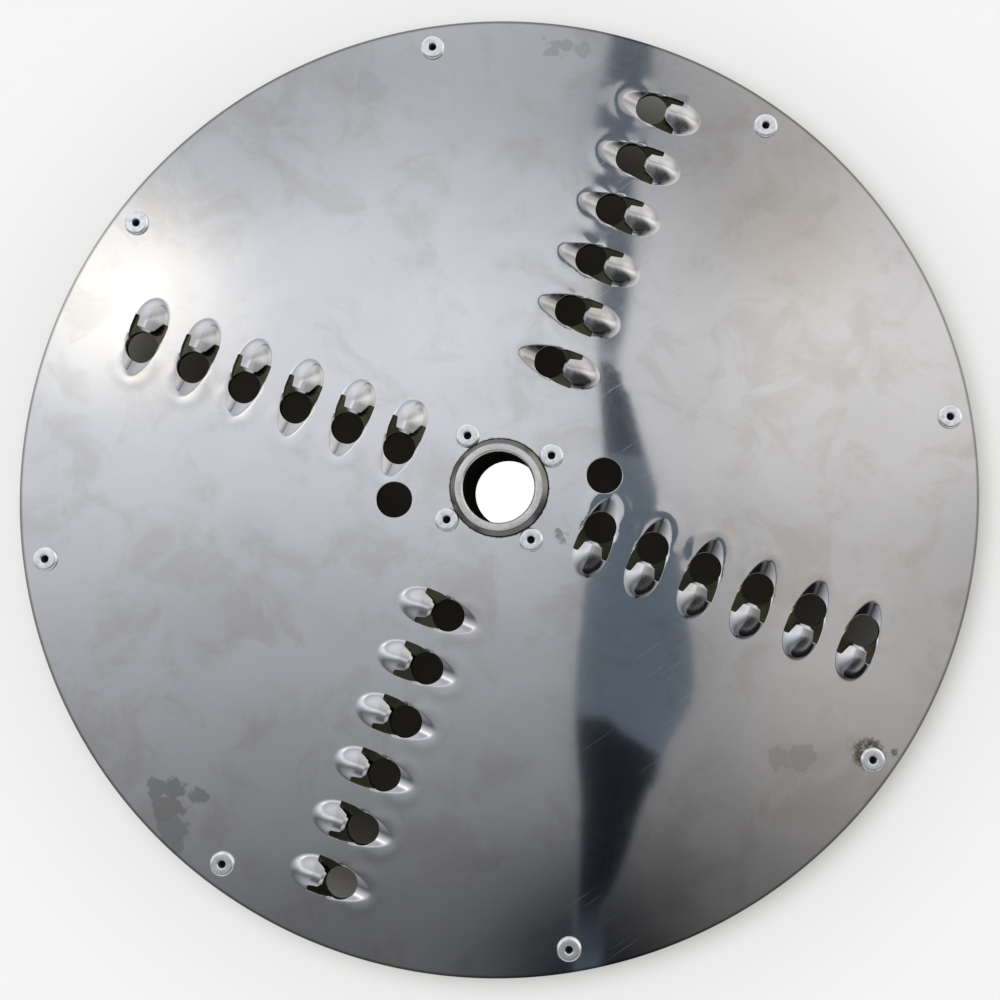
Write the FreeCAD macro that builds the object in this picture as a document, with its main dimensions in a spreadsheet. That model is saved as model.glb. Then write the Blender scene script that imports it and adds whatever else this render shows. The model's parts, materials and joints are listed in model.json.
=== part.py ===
"""Shredding disc for a food processing machine.

A pressed sheet with 24 scoop teeth in four rows lies on a stiff backing plate. A turned hub carries
both, and blind rivets hold them together near the rim and at the hub's flange. The disc stands on the
foot of its hub: +Z up, the origin on the hub's axis at the foot, millimetres. The rows lie along +X,
+Y, -X and -Y, and the teeth cut when the disc turns anticlockwise, seen from above.
"""
import FreeCAD, Part
import math
import os
import Sketcher

doc = FreeCAD.newDocument("shredding_disc")

# Driving dimensions

SIZES = (
    # plates
    ("disc_diameter", 325.0),
    ("sheet_thickness", 1.0),
    ("backing_thickness", 2.0),
    ("rim_chamfer", 0.3),
    # hub
    ("hub_height", 34.0),
    ("bore_diameter", 24.0),
    ("barrel_diameter", 33.0),
    ("flange_edge", 6.3),
    ("flange_thickness", 5.0),
    ("collar_proud", 2.5),
    ("collar_chamfer", 1.7),
    ("bore_chamfer", 0.6),
    ("hub_fit", 0.05),
    # drive pin holes
    ("pin_hole_diameter", 12.0),
    ("pin_circle", 71.6),
    ("pin_angle", 28.0),
    # rivets
    ("rivet_diameter", 4.0),
    ("rivet_fit", 0.05),
    ("rivet_head_diameter", 8.2),
    ("rivet_head_height", 1.1),
    ("rivet_head_rounding", 0.7),
    ("rivet_hole_diameter", 2.5),
    ("rivet_bulb_diameter", 6.0),
    ("rivet_bulb_height", 2.6),
    ("rivet_bulb_rounding", 0.8),
    ("rivet_tail_length", 1.0),
    ("stem_fit", 0.05),
    ("stem_depth", 1.6),
    ("stem_head_diameter", 3.8),
    ("stem_head_height", 1.5),
    ("rim_rivet_count", 8.0),
    ("rim_rivet_inset", 7.75),
    ("rim_rivet_angle", 30.4),
    ("hub_rivet_count", 4.0),
    ("hub_rivet_gap", 0.1),
    ("hub_rivet_angle", 53.0),
    # rows of teeth
    ("row_count", 4.0),
    ("tooth_rim_margin", 20.0),
    ("tooth_pitch", 19.0),
    ("first_tooth_radius", 36.8),
    # one tooth, measured from the centre of its hole
    ("tooth_hole_diameter", 10.8),
    ("scoop_radius", 4.0),
    ("scoop_skirt_radius", 3.0),
    ("scoop_lip", 6.3),
    ("scoop_end_centre", 11.7),
    ("tongue_half_width", 4.0),
    ("window_front", 1.1),
    ("window_back", 10.0),
    ("ramp_radius", 8.0),
    ("ramp_reach", 11.0),
    ("ramp_angle", 12.3),
    # backing plate under a tooth
    ("backing_hole_diameter", 11.0),
    ("ramp_seat_clearance", 0.15),
)

sheet = doc.addObject("Spreadsheet::Sheet", "sizes")
for row, (alias, number) in enumerate(SIZES, start=1):
    sheet.set(f"A{row}", alias)
    sheet.set(f"B{row}", str(number))
    sheet.setAlias(f"B{row}", alias)
doc.recompute()


def size(alias):
    return float(sheet.get(alias))


# Degrees, and how near two lengths are to count as one
FULL_TURN = 360
HALF_TURN = 180
CLOSE = 1e-4


# Heights and counts that follow from the driving dimensions

PLATE_TOP = "(sizes.hub_height - sizes.collar_proud)"
SHEET_BOTTOM = f"({PLATE_TOP} - sizes.sheet_thickness)"
BACKING_BOTTOM = f"({SHEET_BOTTOM} - sizes.backing_thickness)"
FLANGE_BOTTOM = f"({BACKING_BOTTOM} - sizes.flange_thickness)"
plate_top = size("hub_height") - size("collar_proud")
backing_top = plate_top - size("sheet_thickness")
backing_bottom = backing_top - size("backing_thickness")
disc_radius = size("disc_diameter") / 2
row_count = int(size("row_count"))
collar_radius = size("barrel_diameter") / 2

# The rim's rivets keep their distance from the edge, and the heads of the hub's rivets theirs from the collar
HUB_RIVET_RADIUS = "(sizes.barrel_diameter / 2 + sizes.rivet_head_diameter / 2 + sizes.hub_rivet_gap)"
FLANGE_RADIUS = f"({HUB_RIVET_RADIUS} + sizes.flange_edge)"
rivet_radius = {
    "rim": disc_radius - size("rim_rivet_inset"),
    "hub": collar_radius + size("rivet_head_diameter") / 2 + size("hub_rivet_gap"),
}

# Half width of a scoop at the sheet: where the skirt's arc meets the flat
skirt_half_width = math.sqrt((size("scoop_radius") + size("scoop_skirt_radius")) ** 2
                             - size("scoop_skirt_radius") ** 2)
ramp_angle = math.radians(size("ramp_angle"))

# Stock around one tooth, in which it is formed before it joins the disc
STOCK_MARGIN = 1.5
stock_half_width = min(max(skirt_half_width, size("ramp_radius")) + STOCK_MARGIN, size("tooth_pitch") / 2)
stock_back = -size("scoop_end_centre") - skirt_half_width - STOCK_MARGIN
stock_front = size("ramp_reach") + STOCK_MARGIN


# Helpers

def origin_plane(body, role):
    return next(item for item in body.Origin.OriginFeatures if item.Role == role)


def new_body(label):
    body = doc.addObject("PartDesign::Body", label)
    body.Label = label
    return body


def new_sketch(body, name, role):
    """A sketch on one of the body's own planes."""
    sketch = body.newObject("Sketcher::SketchObject", name)
    sketch.AttachmentSupport = (origin_plane(body, role), [""])
    sketch.MapMode = "FlatFace"
    return sketch


def tie(sketch, kind, first, name, number, expression):
    """One signed distance from the sketch's origin to a point, bound to the sheet."""
    index = sketch.addConstraint(Sketcher.Constraint(kind, -1, 1, *first, number))
    sketch.renameConstraint(index, name)
    sketch.setExpression(f"Constraints.{name}", expression)


def evaluate(expression):
    return float(sheet.evalExpression(expression.replace("sizes.", "")))


def add_outline(sketch, corners):
    """A closed outline of straight lines. Each corner is a pair of expressions of the sheet's sizes."""
    points = [FreeCAD.Vector(evaluate(across), evaluate(up), 0) for across, up in corners]
    count = len(points)
    for index in range(count):
        sketch.addGeometry(Part.LineSegment(points[index], points[(index + 1) % count]))
    for index, (across, up) in enumerate(corners):
        before = index - 1 if index else count - 1
        sketch.addConstraint(Sketcher.Constraint("Coincident", before, 2, index, 1))
        for kind, axis, number, expression in (
                ("DistanceX", -2, points[index].x, across),
                ("DistanceY", -1, points[index].y, up)):
            if expression == "0":
                sketch.addConstraint(Sketcher.Constraint("PointOnObject", index, 1, axis))
            else:
                tie(sketch, kind, (index, 1), f"corner_{index}_{kind[-1]}", number, expression)


def add_circle(sketch, name, diameter, across="0", up="0"):
    """A circle whose diameter and centre are expressions of the sheet's sizes."""
    centre = FreeCAD.Vector(evaluate(across), evaluate(up), 0)
    radius = evaluate(diameter) / 2
    geometry = sketch.addGeometry(Part.Circle(centre, FreeCAD.Vector(0, 0, 1), radius))
    index = sketch.addConstraint(Sketcher.Constraint("Diameter", geometry, 2 * radius))
    sketch.renameConstraint(index, f"{name}_diameter")
    sketch.setExpression(f"Constraints.{name}_diameter", diameter)
    for kind, axis, number, expression in (
            ("DistanceX", -2, centre.x, across),
            ("DistanceY", -1, centre.y, up)):
        if expression == "0":
            sketch.addConstraint(Sketcher.Constraint("PointOnObject", geometry, 3, axis))
        else:
            tie(sketch, kind, (geometry, 3), f"{name}_{kind[-1]}", number, expression)


def revolve(body, sketch, name):
    """A full turn of a sketch about its vertical axis."""
    feature = body.newObject("PartDesign::Revolution", name)
    feature.Profile = sketch
    feature.ReferenceAxis = (sketch, ["V_Axis"])
    feature.Angle = FULL_TURN
    return feature


def round_edges(body, feature, name, radius_alias, wanted):
    """A fillet on the edges of a feature that wanted() picks, with its radius bound to the sheet."""
    doc.recompute()
    edges = [f"Edge{index}" for index, edge in enumerate(feature.Shape.Edges, start=1) if wanted(edge)]
    fillet = body.newObject("PartDesign::Fillet", name)
    fillet.Base = (feature, edges)
    fillet.Radius = size(radius_alias)
    fillet.setExpression("Radius", f"sizes.{radius_alias}")
    return fillet


def is_ring(edge, radius, height):
    """True for a full circle about the Z axis of that radius at that height."""
    curve = edge.Curve
    return (isinstance(curve, Part.Circle) and abs(curve.Radius - radius) < CLOSE
            and abs(curve.Center.z - height) < CLOSE and math.hypot(curve.Center.x, curve.Center.y) < CLOSE)


def on_circle(radius, angle, height=0.0):
    """Place a thing that is modelled on the Z axis at a point of a circle about it."""
    turn = math.radians(angle)
    place = FreeCAD.Vector(radius * math.cos(turn), radius * math.sin(turn), height)
    return FreeCAD.Placement(place, FreeCAD.Rotation(FreeCAD.Vector(0, 0, 1), angle))


def ring_places(prefix, height=0.0):
    """The places of the rim's or the hub's rivets."""
    count = int(size(f"{prefix}_rivet_count"))
    return [on_circle(rivet_radius[prefix], size(f"{prefix}_rivet_angle") + index * FULL_TURN / count, height)
            for index in range(count)]


def tooth_places(height):
    """The places of all teeth. Every second row starts half a pitch further out. Each is as long as fits."""
    places = []
    outermost = disc_radius - size("tooth_rim_margin")
    for row in range(row_count):
        radius = size("first_tooth_radius") + (row % 2) * size("tooth_pitch") / 2
        while radius <= outermost:
            places.append(on_circle(radius, row * FULL_TURN / row_count, height))
            radius += size("tooth_pitch")
    return places


def repeat(shape, places):
    """Copies of one shape, each at its place."""
    copies = []
    for place in places:
        copy = shape.copy()
        copy.Placement = place.multiply(copy.Placement)
        copies.append(copy)
    return copies


def plain_feature(label, shape):
    feature = doc.addObject("Part::Feature", label)
    feature.Label = label
    feature.Shape = shape
    return feature


def group(label, shapes):
    return plain_feature(label, Part.makeCompound(shapes))


# The hub: a turned part with a flange under the plates and a collar through them

def make_hub():
    body = new_body("hub")
    sketch = new_sketch(body, "hub_section", "XZ_Plane")
    bore = "sizes.bore_diameter / 2"
    barrel = "sizes.barrel_diameter / 2"
    flange = FLANGE_RADIUS
    chamfer = "sizes.collar_chamfer"
    top = "sizes.hub_height"
    add_outline(sketch, [
        (bore, "0"),
        (barrel, "0"),
        (barrel, FLANGE_BOTTOM),
        (flange, FLANGE_BOTTOM),
        (flange, BACKING_BOTTOM),
        (barrel, BACKING_BOTTOM),
        (barrel, f"{top} - {chamfer}"),
        (f"{barrel} - {chamfer}", top),
        (f"{bore} + sizes.bore_chamfer", top),
        (bore, f"{top} - sizes.bore_chamfer"),
    ])
    turned = revolve(body, sketch, "hub_turned")

    holes = new_sketch(body, "hub_rivet_hole_centre", "XY_Plane")
    add_circle(holes, "hole", "sizes.rivet_diameter + 2 * sizes.rivet_fit",
               f"{HUB_RIVET_RADIUS} * cos(sizes.hub_rivet_angle * 1deg)",
               f"{HUB_RIVET_RADIUS} * sin(sizes.hub_rivet_angle * 1deg)")
    drilled = body.newObject("PartDesign::Pocket", "hub_rivet_hole")
    drilled.Profile = holes
    drilled.Type = "ThroughAll"
    drilled.Reversed = True
    pattern = body.newObject("PartDesign::PolarPattern", "hub_rivet_holes")
    pattern.Originals = [drilled]
    pattern.Axis = (holes, ["N_Axis"])
    pattern.Angle = FULL_TURN
    pattern.Occurrences = int(size("hub_rivet_count"))
    pattern.setExpression("Occurrences", "sizes.hub_rivet_count")
    body.Tip = pattern
    doc.recompute()
    if not pattern.Shape.Volume < drilled.Shape.Volume < turned.Shape.Volume:
        raise RuntimeError("the hub's rivet holes cut nothing")
    return body


# A blind rivet and the end of its mandrel, modelled with the head's seat at the origin

def make_rivet(label, grip):
    """grip is the stack that the rivet holds, as an expression."""
    body = new_body(label)
    sketch = new_sketch(body, f"{label}_section", "XZ_Plane")
    hole = "sizes.rivet_hole_diameter / 2"
    shank = "sizes.rivet_diameter / 2"
    head = "sizes.rivet_head_diameter / 2"
    bulb = "sizes.rivet_bulb_diameter / 2"
    bulb_end = f"-({grip}) - sizes.rivet_bulb_height"
    tail_end = f"{bulb_end} - sizes.rivet_tail_length"
    add_outline(sketch, [
        (hole, tail_end),
        (shank, tail_end),
        (shank, bulb_end),
        (bulb, bulb_end),
        (bulb, f"-({grip})"),
        (shank, f"-({grip})"),
        (shank, "0"),
        (head, "0"),
        (head, "sizes.rivet_head_height"),
        (hole, "sizes.rivet_head_height"),
    ])
    turned = revolve(body, sketch, f"{label}_turned")
    head_radius = size("rivet_head_diameter") / 2
    rounded = round_edges(body, turned, f"{label}_head_rounding", "rivet_head_rounding",
                          lambda edge: is_ring(edge, head_radius, size("rivet_head_height")))
    bulb_radius = size("rivet_bulb_diameter") / 2
    round_edges(body, rounded, f"{label}_bulb_rounding", "rivet_bulb_rounding",
                lambda edge: is_ring(edge, bulb_radius, evaluate(bulb_end)))
    doc.recompute()
    return body


def make_stem(label, grip):
    """The stem fills the rivet's hole up to where it broke, and its head bears on the rivet's tail."""
    body = new_body(label)
    sketch = new_sketch(body, f"{label}_section", "XZ_Plane")
    stem = "sizes.rivet_hole_diameter / 2 - sizes.stem_fit"
    head = "sizes.stem_head_diameter / 2"
    tail_end = f"-({grip}) - sizes.rivet_bulb_height - sizes.rivet_tail_length"
    add_outline(sketch, [
        ("0", f"{tail_end} - sizes.stem_head_height"),
        (head, f"{tail_end} - sizes.stem_head_height"),
        (head, tail_end),
        (stem, tail_end),
        (stem, "-sizes.stem_depth"),
        ("0", "-sizes.stem_depth"),
    ])
    turned = revolve(body, sketch, f"{label}_turned")
    round_edges(body, turned, f"{label}_head_rounding", "rivet_bulb_rounding",
                lambda edge: is_ring(edge, evaluate(head), evaluate(f"{tail_end} - sizes.stem_head_height")))
    doc.recompute()
    return body


# One tooth, formed in a piece of the sheet with the centre of its hole at the origin

def tilted_cylinder(name, radius, start):
    """A cylinder along the ramp, which meets the sheet's face at ramp_reach. start is the y of its low end."""
    cylinder = doc.addObject("Part::Cylinder", name)
    reach = "sizes.ramp_reach"
    slope = "sizes.ramp_angle * 1deg"
    along = f"({reach} - ({start}))"
    cylinder.Placement = FreeCAD.Placement(FreeCAD.Vector(), FreeCAD.Rotation(FreeCAD.Vector(1, 0, 0), -90))
    cylinder.setExpression("Radius", f"({radius}) * 1mm")
    cylinder.setExpression("Height", f"({along} + 3 * {reach}) / cos({slope}) * 1mm")
    cylinder.setExpression("Placement.Base.y", f"({start}) - sizes.ramp_radius * sin({slope})")
    cylinder.setExpression("Placement.Base.z", f"sizes.ramp_radius * cos({slope}) - {along} * tan({slope})")
    cylinder.setExpression("Placement.Rotation.Angle", "(sizes.ramp_angle - 90) * 1deg")
    return cylinder


def scoop_section(half_only):
    """Section across a scoop: a round crown of the sheet's thickness with flared skirts down to the flat."""
    thickness = size("sheet_thickness")
    crown = size("scoop_radius")
    skirt = size("scoop_skirt_radius")
    centre_x = skirt_half_width
    angle = math.atan2(skirt, centre_x)

    def point(x, z):
        return FreeCAD.Vector(x, 0, z)

    def on_crown(radius, turn):
        return point(radius * math.cos(turn), radius * math.sin(turn))

    def on_skirt(radius, turn, side):
        return point(side * (centre_x + radius * math.cos(turn)), skirt + radius * math.sin(turn))

    def skirt_arc(radius, side, downwards):
        ends = [on_skirt(radius, turn, side) for turn in
                (math.pi + angle, (math.pi + angle + 1.5 * math.pi) / 2, 1.5 * math.pi)]
        if not downwards:
            ends.reverse()
        return Part.Arc(*ends).toShape()

    inner = crown - thickness
    if half_only:
        left_top, left_inner = point(0, crown), point(0, inner)
        middle = (angle + math.pi / 2) / 2
    else:
        left_top, left_inner = on_crown(crown, math.pi - angle), on_crown(inner, math.pi - angle)
        middle = math.pi / 2
    edges = [
        Part.Arc(left_top, on_crown(crown, middle), on_crown(crown, angle)).toShape(),
        skirt_arc(skirt, 1, True),
        Part.makeLine(point(centre_x, 0), point(centre_x, -thickness)),
        skirt_arc(skirt + thickness, 1, False),
        Part.Arc(on_crown(inner, angle), on_crown(inner, middle), left_inner).toShape(),
    ]
    if half_only:
        edges.append(Part.makeLine(left_inner, left_top))
    else:
        edges += [
            skirt_arc(skirt + thickness, -1, True),
            Part.makeLine(point(-centre_x, -thickness), point(-centre_x, 0)),
            skirt_arc(skirt, -1, False),
        ]
    return Part.Face(Part.Wire(edges))


def make_scoop():
    """The raised scoop: its section run from the lip to the round end, less the windows beside the tongue."""
    lip = -size("scoop_lip")
    end = -size("scoop_end_centre")
    back = -size("window_back")
    run = scoop_section(False)
    run.translate(FreeCAD.Vector(0, end, 0))
    run = run.extrude(FreeCAD.Vector(0, lip - end, 0))
    turned = scoop_section(True)
    turned.translate(FreeCAD.Vector(0, end, 0))
    turned = turned.revolve(FreeCAD.Vector(0, end, 0), FreeCAD.Vector(0, 0, 1), -HALF_TURN)
    windows = []
    window_width = skirt_half_width - size("tongue_half_width")
    depth = size("scoop_radius") + 2 * size("sheet_thickness")
    for side in (-skirt_half_width, size("tongue_half_width")):
        corner = FreeCAD.Vector(side, back, -2 * size("sheet_thickness"))
        windows.append(Part.makeBox(window_width, lip - back, depth, corner))
    return run.cut(windows).fuse(turned).removeSplitter()


def make_tooth():
    stock = Part.makeBox(2 * stock_half_width, stock_front - stock_back, size("sheet_thickness"),
                         FreeCAD.Vector(-stock_half_width, stock_back, -size("sheet_thickness")))
    front = "-sizes.window_front"
    under = tilted_cylinder("ramp_underside", "sizes.ramp_radius + sizes.sheet_thickness", front)
    face = tilted_cylinder("ramp_face", "sizes.ramp_radius", f"{front} - sizes.ramp_reach")
    doc.recompute()

    # the sheet swells down round the ramp, under its own lower face only
    below = Part.makeBox(4 * size("ramp_radius"), stock_front - stock_back, 2 * size("ramp_radius"),
                         FreeCAD.Vector(-2 * size("ramp_radius"), -size("window_front"),
                                        -2 * size("ramp_radius") - size("sheet_thickness") / 2))
    swelling = under.Shape.common(below)
    pressed = stock.fuse(swelling).cut(face.Shape)

    # the opening: straight sides from the ramp to the end of the scoop, which is round
    end = -size("scoop_end_centre")
    height = 4 * size("ramp_radius")
    slot = Part.makeBox(2 * skirt_half_width, -size("window_front") - end, height,
                        FreeCAD.Vector(-skirt_half_width, end, -height / 2))
    slot_end = Part.makeCylinder(skirt_half_width, height, FreeCAD.Vector(0, end, -height / 2))
    hole = Part.makeCylinder(size("tooth_hole_diameter") / 2, height, FreeCAD.Vector(0, 0, -height / 2))
    opened = pressed.cut([slot.fuse(slot_end), hole])
    return opened.fuse(make_scoop()).removeSplitter()


# Holes that go through both plates

def plate_holes():
    height = size("hub_height")
    centre = Part.makeCylinder(collar_radius + size("hub_fit"), height)
    rivet = Part.makeCylinder(size("rivet_diameter") / 2 + size("rivet_fit"), height)
    pin = Part.makeCylinder(size("pin_hole_diameter") / 2, height)
    pins = [on_circle(size("pin_circle") / 2, size("pin_angle") + turn) for turn in (0, HALF_TURN)]
    return [centre] + repeat(rivet, ring_places("rim") + ring_places("hub")) + repeat(pin, pins)


# The plates

def make_cutting_plate(tooth, holes):
    disc = Part.makeCylinder(disc_radius, size("sheet_thickness"), FreeCAD.Vector(0, 0, backing_top))
    rim = [edge for edge in disc.Edges if is_ring(edge, disc_radius, plate_top)]
    disc = disc.makeChamfer(size("rim_chamfer"), rim)
    window = Part.makeBox(2 * stock_half_width, stock_front - stock_back, 3 * size("sheet_thickness"),
                          FreeCAD.Vector(-stock_half_width, stock_back, -2 * size("sheet_thickness")))
    places = tooth_places(plate_top)
    opened = disc.cut(repeat(window, places))
    whole = opened.fuse(repeat(tooth, places)).removeSplitter()
    return whole.cut(holes)


def make_backing_plate(holes):
    seat = tilted_cylinder("ramp_seat",
                           "sizes.ramp_radius + sizes.sheet_thickness + sizes.ramp_seat_clearance",
                           "-sizes.window_front - 2 * sizes.ramp_seat_clearance")
    doc.recompute()
    disc = Part.makeCylinder(disc_radius, size("backing_thickness"), FreeCAD.Vector(0, 0, backing_bottom))
    hole = Part.makeCylinder(size("backing_hole_diameter") / 2, size("hub_height"),
                             FreeCAD.Vector(0, 0, -size("hub_height")))
    places = tooth_places(plate_top)
    return disc.cut(repeat(hole, places)).cut(repeat(seat.Shape, places)).cut(holes)


tooth = plain_feature("tooth", make_tooth())
holes = group("plate_holes", plate_holes())
plate_stack = "sizes.sheet_thickness + sizes.backing_thickness"
hub_stack = f"{plate_stack} + sizes.flange_thickness"
hub = make_hub()
rim_rivet = make_rivet("rim_rivet", plate_stack)
hub_rivet = make_rivet("hub_rivet", hub_stack)
rim_stem = make_stem("rim_rivet_stem", plate_stack)
hub_stem = make_stem("hub_rivet_stem", hub_stack)

parts = [
    plain_feature("cutting_plate", make_cutting_plate(tooth.Shape, holes.Shape.Solids)),
    plain_feature("backing_plate", make_backing_plate(holes.Shape.Solids)),
    hub,
    group("rim_rivets", repeat(rim_rivet.Shape, ring_places("rim", plate_top))),
    group("hub_rivets", repeat(hub_rivet.Shape, ring_places("hub", plate_top))),
    group("rim_rivet_stems", repeat(rim_stem.Shape, ring_places("rim", plate_top))),
    group("hub_rivet_stems", repeat(hub_stem.Shape, ring_places("hub", plate_top))),
]

doc.recompute()
for item in doc.Objects:
    if "Invalid" in item.State or "Error" in item.State:
        raise RuntimeError(f"{item.Label} failed: {item.State}")
for part in parts:
    if part.Shape.isNull() or not part.Shape.isValid() or not part.Shape.Solids:
        raise RuntimeError(f"{part.Label} has no valid solid")

os.makedirs("parts", exist_ok=True)
for part in parts:
    part.Shape.exportStep(f"parts/{part.Label}.step")
    box = part.Shape.BoundBox
    print(f"{part.Label}: {len(part.Shape.Solids)} solids, {part.Shape.Volume:.1f} mm3,"
          f" z {box.ZMin:.2f} to {box.ZMax:.2f}, x {box.XMin:.2f} to {box.XMax:.2f}")
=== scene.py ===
"""The looks of a shredding disc: a worn, pressed sheet with rows of scoop teeth, its hub and its rivets."""

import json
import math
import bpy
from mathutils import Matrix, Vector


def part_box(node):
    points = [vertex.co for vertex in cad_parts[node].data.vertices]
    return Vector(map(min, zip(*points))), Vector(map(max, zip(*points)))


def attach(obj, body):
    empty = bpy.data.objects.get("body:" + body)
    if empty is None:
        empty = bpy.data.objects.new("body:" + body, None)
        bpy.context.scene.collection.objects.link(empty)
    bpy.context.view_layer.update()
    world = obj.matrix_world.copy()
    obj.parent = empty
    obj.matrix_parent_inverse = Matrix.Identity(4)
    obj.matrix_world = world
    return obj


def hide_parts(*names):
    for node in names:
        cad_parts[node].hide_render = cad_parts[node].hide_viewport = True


bl_info = {
    "name": "Shredding Disc",
    "version": (1, 0, 0),
    "blender": (4, 5, 0),
    "location": "3D View > Sidebar > Shredding Disc",
    "description": "Dresses a shredding disc in worn steel and sets it on a pale floor",
    "category": "Add Mesh",
}

from collections import namedtuple

import bpy
import numpy as np
from bpy.props import FloatProperty, FloatVectorProperty, IntProperty, PointerProperty
from bpy.types import Operator, Panel, PropertyGroup
from mathutils import Matrix, Vector
from mathutils.geometry import delaunay_2d_cdt

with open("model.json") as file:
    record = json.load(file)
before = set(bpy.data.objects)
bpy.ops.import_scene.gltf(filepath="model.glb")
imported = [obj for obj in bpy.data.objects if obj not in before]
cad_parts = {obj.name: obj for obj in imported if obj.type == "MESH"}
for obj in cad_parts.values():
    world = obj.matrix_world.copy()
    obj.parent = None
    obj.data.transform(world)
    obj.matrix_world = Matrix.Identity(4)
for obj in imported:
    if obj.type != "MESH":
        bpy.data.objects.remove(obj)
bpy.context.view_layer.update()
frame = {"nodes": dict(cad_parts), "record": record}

# Places that the frame gives

MM = 0.001
BACKING_LOW, BACKING_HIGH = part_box("backing_plate")
HUB_LOW, HUB_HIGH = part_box("hub")
MOUNTS = {mount["name"]: mount["dims"] for mount in frame["record"]["mounts"]}
BORE_RADIUS = MOUNTS["hub_bore"]["r_mm"] * MM
DISC_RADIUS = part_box("cutting_plate")[1][0]
SHEET_TOP = HUB_HIGH[2] - 2.5 * MM


def opening_centres(prefix):
    """The middles of the record's openings whose names start with a word."""
    boxes = [opening["box_m"] for opening in frame["record"]["physics"]["openings"]
             if opening["name"].startswith(prefix)]
    return [((low[0] + high[0]) / 2, (low[1] + high[1]) / 2) for low, high in boxes]


def tooth_places():
    """(x, y, turn) of each tooth: the centre of its hole, and the direction of its row."""
    quarter = math.pi / 2
    return [(x, y, round(math.atan2(y, x) / quarter) * quarter) for x, y in opening_centres("tooth")]


# Sizes and colours that a user would change

def length(name, description, millimetres):
    return FloatProperty(name=name, description=description, default=millimetres * MM, unit="LENGTH",
                         subtype="DISTANCE", precision=5)


def angle(name, description, degrees):
    return FloatProperty(name=name, description=description, default=math.radians(degrees), unit="ROTATION",
                         subtype="ANGLE")


def count(name, description, default):
    return IntProperty(name=name, description=description, default=default, min=1)


def colour(name, description, default):
    return FloatVectorProperty(name=name, description=description, default=default, size=3, subtype="COLOR",
                               min=0.0, max=1.0)


class DISC_PG_tooth(PropertyGroup):
    """One pressed tooth, measured from the centre of its hole"""
    hole_radius: length("Hole radius", "Radius of the punched end of the ramp", 5.4)
    scoop_radius: length("Scoop radius", "Radius across the scoop's crown", 3.85)
    skirt_radius: length("Skirt radius", "Radius with which the scoop runs out into the sheet", 3.0)
    lip: length("Lip", "How far back the cutting lip lies", 6.3)
    lip_bevel: length("Lip bevel", "How far the cut under the lip leans forward", 0.9)
    shoulder: length("Shoulder", "How far back the scoop starts to fall", 8.8)
    end: length("End", "How far back the scoop ends", 18.2)
    tongue_half_width: length("Tongue half width", "Half the width of the tongue where the windows end", 4.3)
    nose_half_width: length("Nose half width", "Half the width of the tongue at the lip", 3.0)
    window_front: length("Window front", "How far back the windows start", 1.1)
    window_spread: length("Window spread", "How far back the windows are at their widest", 4.8)
    window_back: length("Window back", "How far back the windows end", 10.0)
    window_corner: length("Window corner", "Rounding of the windows' corners", 0.45)
    ramp_radius: length("Ramp radius", "Radius across the dished ramp", 8.0)
    ramp_reach: length("Ramp reach", "How far forward the ramp's tip lies", 10.3)
    ramp_angle: angle("Ramp angle", "Slope of the ramp", 12.3)
    edge_softness: length("Edge softness", "How gently the ramp's edges turn into the sheet", 0.16)
    halo_height: length("Halo height", "Height of the swelling that the press leaves round the ramp", 0.035)


class DISC_PG_sheet(PropertyGroup):
    """The pressed sheet as a whole"""
    thickness: length("Thickness", "Thickness of the sheet", 1.0)
    edge_rounding: length("Edge rounding", "Rounding of the rim and the round holes", 0.3)
    waviness: length("Waviness", "How far the sheet stands off flat between its rivets", 0.06)
    cut_rounding: length("Cut rounding", "Rounding of the cut edges of the teeth", 0.12)
    coarse_step: length("Coarse step", "Distance of mesh points on the flat", 4.0)
    fine_step: length("Fine step", "Distance of mesh points on the teeth", 0.7)
    steel: colour("Steel", "Colour of the clean sheet", (0.62, 0.62, 0.635))
    stain: colour("Stain", "Colour of dried water marks", (0.27, 0.275, 0.27))
    haze: FloatProperty(name="Haze", description="Roughness of the worn face", default=0.04, subtype="FACTOR",
                        min=0.0, max=1.0)


class DISC_PG_hub(PropertyGroup):
    """The turned hub"""
    barrel_radius: length("Barrel radius", "Outer radius of the barrel and the collar", 16.5)
    flange_bottom: length("Flange bottom", "Height of the flange's lower face above the foot", 23.5)
    collar_chamfer: length("Collar chamfer", "Width of the chamfer on the collar", 1.7)
    bore_chamfer: length("Bore chamfer", "Width of the chamfer in the bore's mouth", 0.6)
    corner_rounding: length("Corner rounding", "Rounding of the turned corners", 0.2)
    segments: count("Segments", "Facets round the hub", 160)
    steel: colour("Steel", "Colour of the turned steel", (0.70, 0.69, 0.68))


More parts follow.
